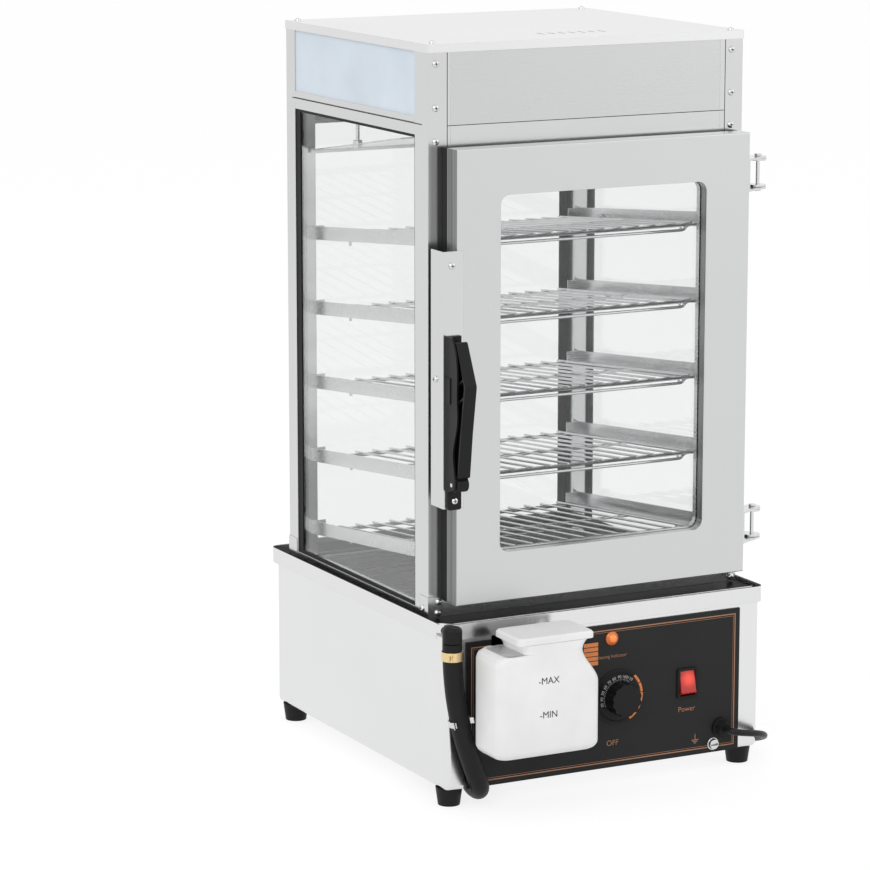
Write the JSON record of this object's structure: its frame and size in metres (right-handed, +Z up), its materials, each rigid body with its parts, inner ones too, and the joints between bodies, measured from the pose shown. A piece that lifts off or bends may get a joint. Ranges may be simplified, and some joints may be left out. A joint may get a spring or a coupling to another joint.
{
  "type": "commercial food steamer",
  "caption": "Countertop food steamer: glazed cabinet with sloping wire racks behind a hinged door, on a heated water base with a dial, a switch, a feed tank and a drain hose.",
  "frame": {"origin": "on the resting plane, under the middle of the body without its cord", "axes": "+Z up, +X right seen from the front, +Y to the back; the door faces -Y"},
  "size_m": [0.4141, 0.609, 0.75],
  "materials": {
    "casing_steel": "polished stainless sheet",
    "door_steel": "satin stainless sheet",
    "tray_steel": "polished stainless sheet with a dark reflection",
    "inner_steel": "plain stainless sheet",
    "panel_black": "black powder coat",
    "rack_chrome": "chromed wire",
    "fastener_steel": "bright pan-head screws and pins",
    "black_plastic": "moulded black plastic",
    "black_rubber": "black rubber",
    "seal_rubber": "black silicone strip",
    "clear_glass": "clear toughened glass",
    "light_white": "milky diffuser sheet",
    "tank_white": "white blown plastic",
    "rocker_red": "red switch plastic",
    "lens_amber": "amber lens",
    "clamp_brass": "passivated spring steel, brass coloured",
    "heater_steel": "dull tube",
    "cord_black": "black cord sheath"
  },
  "bodies": {
    "cabinet": {"base_shell": "casing_steel", "bottom_plate": "inner_steel", "feet": "black_rubber", "control_panel": "panel_black", "thermostat": "inner_steel", "indicator_lamp": "lens_amber", "switch_housing": "black_plastic", "earth_stud": "fastener_steel", "cord_gland": "black_plastic", "power_cord": "cord_black", "cord_coil": "cord_black", "power_plug": "black_plastic", "drip_tray": "tray_steel", "water_pan": "inner_steel", "heating_element": "heater_steel", "drain_elbow": "black_plastic", "drain_hose": "black_rubber", "hose_clamp": "clamp_brass", "hose_clip": "fastener_steel", "tank_bracket": "inner_steel", "front_left_post": "casing_steel", "front_right_post": "casing_steel", "rear_left_post": "casing_steel", "rear_right_post": "casing_steel", "post_caps": "casing_steel", "roof": "casing_steel", "header_panels": "door_steel", "cross_rails": "casing_steel", "side_rails": "casing_steel", "light_windows": "light_white", "light_tube": "light_white", "drip_ceiling": "inner_steel", "ceiling_panel": "inner_steel", "left_glass": "clear_glass", "right_glass": "clear_glass", "rear_glass": "clear_glass", "glass_seals": "seal_rubber", "left_shelf_rails": "inner_steel", "right_shelf_rails": "inner_steel", "cabinet_hinges": "fastener_steel", "hinge_pins": "fastener_steel", "cabinet_screws": "fastener_steel"},
    "door": {"door_frame": "door_steel", "door_liner": "inner_steel", "door_glass": "clear_glass", "door_seal": "seal_rubber", "latch_plate": "casing_steel", "handle_base": "black_plastic", "handle_pin": "fastener_steel", "door_hinges": "fastener_steel"},
    "lever": {"handle_lever": "black_plastic"},
    "knob": {"temperature_knob": "black_plastic"},
    "power_switch": {"rocker": "rocker_red"},
    "tank": {"water_tank": "tank_white"},
    "lid": {"tank_lid": "tank_white"},
    "shelf_1": {"rack_1": "rack_chrome"},
    "shelf_2": {"rack_2": "rack_chrome"},
    "shelf_3": {"rack_3": "rack_chrome"},
    "shelf_4": {"rack_4": "rack_chrome"},
    "shelf_5": {"rack_5": "rack_chrome"}
  },
  "joints": [
    {"name": "door_hinge", "type": "hinge", "parent": "cabinet", "child": "door", "pos_m": [0.184, -0.125, 0.4255], "axis": [0, 0, 1], "range_deg": [0, 165]},
    {"name": "handle_pivot", "type": "hinge", "parent": "door", "child": "lever", "pos_m": [-0.17325, -0.161, 0.326], "axis": [1, 0, 0], "range_deg": [0, 30]},
    {"name": "knob_turn", "type": "hinge", "parent": "cabinet", "child": "knob", "pos_m": [0.006, -0.162, 0.0915], "axis": [0, 1, 0], "range_deg": [0, 300]},
    {"name": "switch_rock", "type": "hinge", "parent": "cabinet", "child": "power_switch", "pos_m": [0.0865, -0.1585, 0.096], "axis": [-1, 0, 0], "range_deg": [0, 16]},
    {"name": "tank_lift", "type": "slide", "parent": "cabinet", "child": "tank", "axis": [0, 0, 1], "range_m": [0, 0.019]},
    {"name": "tank_lid_hinge", "type": "hinge", "parent": "tank", "child": "lid", "pos_m": [-0.0765, -0.179, 0.18], "axis": [-1, 0, 0], "range_deg": [0, 95]},
    {"name": "rack_1_slide", "type": "slide", "parent": "cabinet", "child": "shelf_1", "axis": [0, -0.995, 0.0995], "range_m": [0, 0.021]},
    {"name": "rack_2_slide", "type": "slide", "parent": "cabinet", "child": "shelf_2", "axis": [0, -0.995, 0.0995], "range_m": [0, 0.021]},
    {"name": "rack_3_slide", "type": "slide", "parent": "cabinet", "child": "shelf_3", "axis": [0, -0.995, 0.0995], "range_m": [0, 0.021]},
    {"name": "rack_4_slide", "type": "slide", "parent": "cabinet", "child": "shelf_4", "axis": [0, -0.995, 0.0995], "range_m": [0, 0.021]},
    {"name": "rack_5_slide", "type": "slide", "parent": "cabinet", "child": "shelf_5", "axis": [0, -0.995, 0.0995], "range_m": [0, 0.021]}
  ]
}
